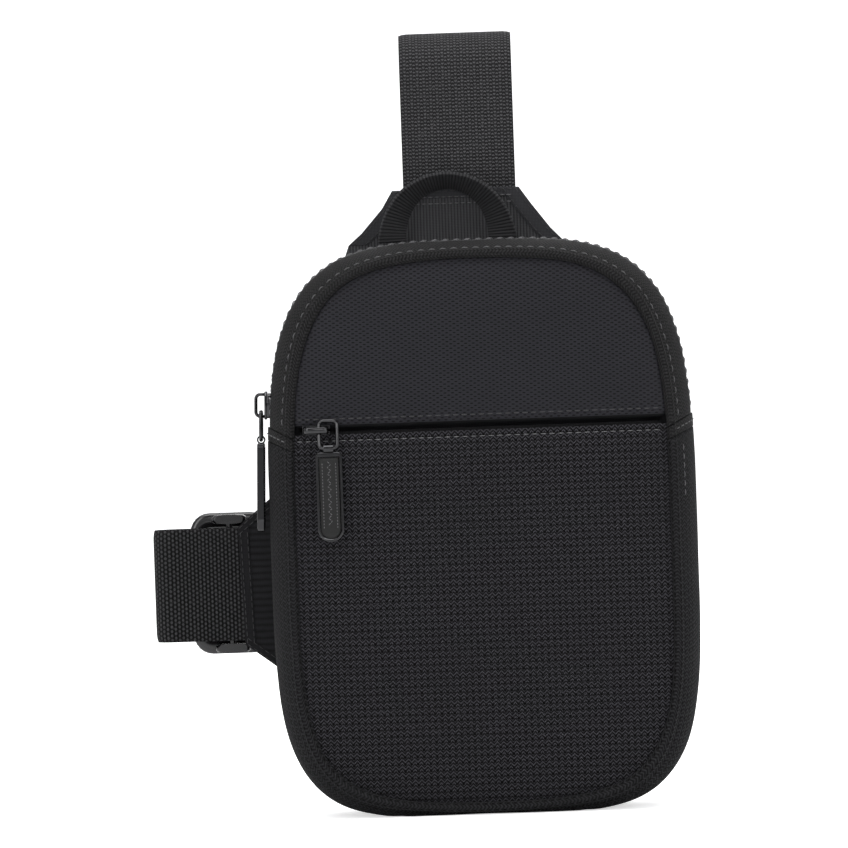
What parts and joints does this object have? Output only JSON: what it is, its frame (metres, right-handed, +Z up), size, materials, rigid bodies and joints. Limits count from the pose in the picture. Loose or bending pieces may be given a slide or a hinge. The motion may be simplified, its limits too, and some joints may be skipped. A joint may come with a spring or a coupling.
{
  "type": "sling bag",
  "caption": "Small zipped sling bag with a front pocket, grab loop, padded back and one adjustable webbing strap.",
  "frame": {"origin": "middle of the pouch's flat base", "axes": "+Z up, +X to the right as seen from the front, the front faces -Y"},
  "size_m": [0.1839, 0.0758, 0.262],
  "materials": {
    "coated_cloth": "coated polyester cloth, fine dimples",
    "mesh_cloth": "knitted spacer mesh",
    "zip_cloth": "woven zip tape",
    "webbing_cloth": "woven webbing",
    "lining_cloth": "plain lining cloth",
    "grosgrain": "ribbed tape",
    "coil_nylon": "nylon coil",
    "gunmetal": "dark bright plating",
    "moulded_plastic": "moulded, satin",
    "pull_leather": "stitched insert"
  },
  "bodies": {
    "bag": {"front_upper_panel": "coated_cloth", "front_pocket_panel": "mesh_cloth", "pocket_tape_upper": "zip_cloth", "pocket_tape_lower": "zip_cloth", "pocket_coil_upper": "coil_nylon", "pocket_coil_lower": "coil_nylon", "pocket_back": "lining_cloth", "zip_strip_front": "coated_cloth", "zip_strip_rear": "coated_cloth", "main_tape_front": "zip_cloth", "main_tape_rear": "zip_cloth", "main_coil_front": "coil_nylon", "main_coil_rear": "coil_nylon", "lower_gusset": "mesh_cloth", "gusset_lining": "lining_cloth", "gusset_joint_left": "coated_cloth", "gusset_joint_right": "coated_cloth", "seam_binding_front": "lining_cloth", "seam_binding_rear": "lining_cloth", "back_cover": "mesh_cloth", "back_foam": "lining_cloth", "back_lining": "lining_cloth", "inner_pocket": "lining_cloth", "yoke_front": "coated_cloth", "yoke_rear": "coated_cloth", "wing_front": "coated_cloth", "wing_rear": "coated_cloth", "strap_webbing": "webbing_cloth", "adjuster_webbing": "webbing_cloth", "tri_glide": "moulded_plastic", "grab_loop": "grosgrain"},
    "main_slider": {"main_slider": "gunmetal"},
    "main_ring": {"main_ring": "gunmetal"},
    "main_pull": {"main_pull_frame": "gunmetal", "main_pull_insert": "pull_leather"},
    "pocket_slider": {"pocket_slider": "gunmetal"},
    "pocket_ring": {"pocket_ring": "gunmetal"},
    "pocket_pull": {"pocket_pull_frame": "gunmetal", "pocket_pull_insert": "pull_leather"}
  },
  "joints": [
    {"name": "main_slider_travel", "type": "hinge", "parent": "bag", "child": "main_slider", "pos_m": [0.004, -0.005, 0.136], "axis": [0, 1, 0], "range_deg": [0, 27]},
    {"name": "main_ring_lift", "type": "hinge", "parent": "main_slider", "child": "main_ring", "pos_m": [-0.07323, -0.005, 0.13644], "axis": [0, 1, 0], "range_deg": [0, 100]},
    {"name": "main_pull_lift", "type": "hinge", "parent": "main_ring", "child": "main_pull", "pos_m": [-0.07354, -0.005, 0.12705], "axis": [0, 1, 0], "range_deg": [0, 80]},
    {"name": "pocket_slider_travel", "type": "slide", "parent": "bag", "child": "pocket_slider", "axis": [1, 0, 0], "range_m": [0, 0.109]},
    {"name": "pocket_ring_turn", "type": "hinge", "parent": "pocket_slider", "child": "pocket_ring", "pos_m": [-0.0537, -0.02755, 0.13], "axis": [0, -0.1736, -0.9848], "range_deg": [0, 90]},
    {"name": "pocket_pull_lift", "type": "hinge", "parent": "pocket_ring", "child": "pocket_pull", "pos_m": [-0.05065, -0.02864, 0.1238], "axis": [-1, 0, 0], "range_deg": [0, 90]}
  ]
}
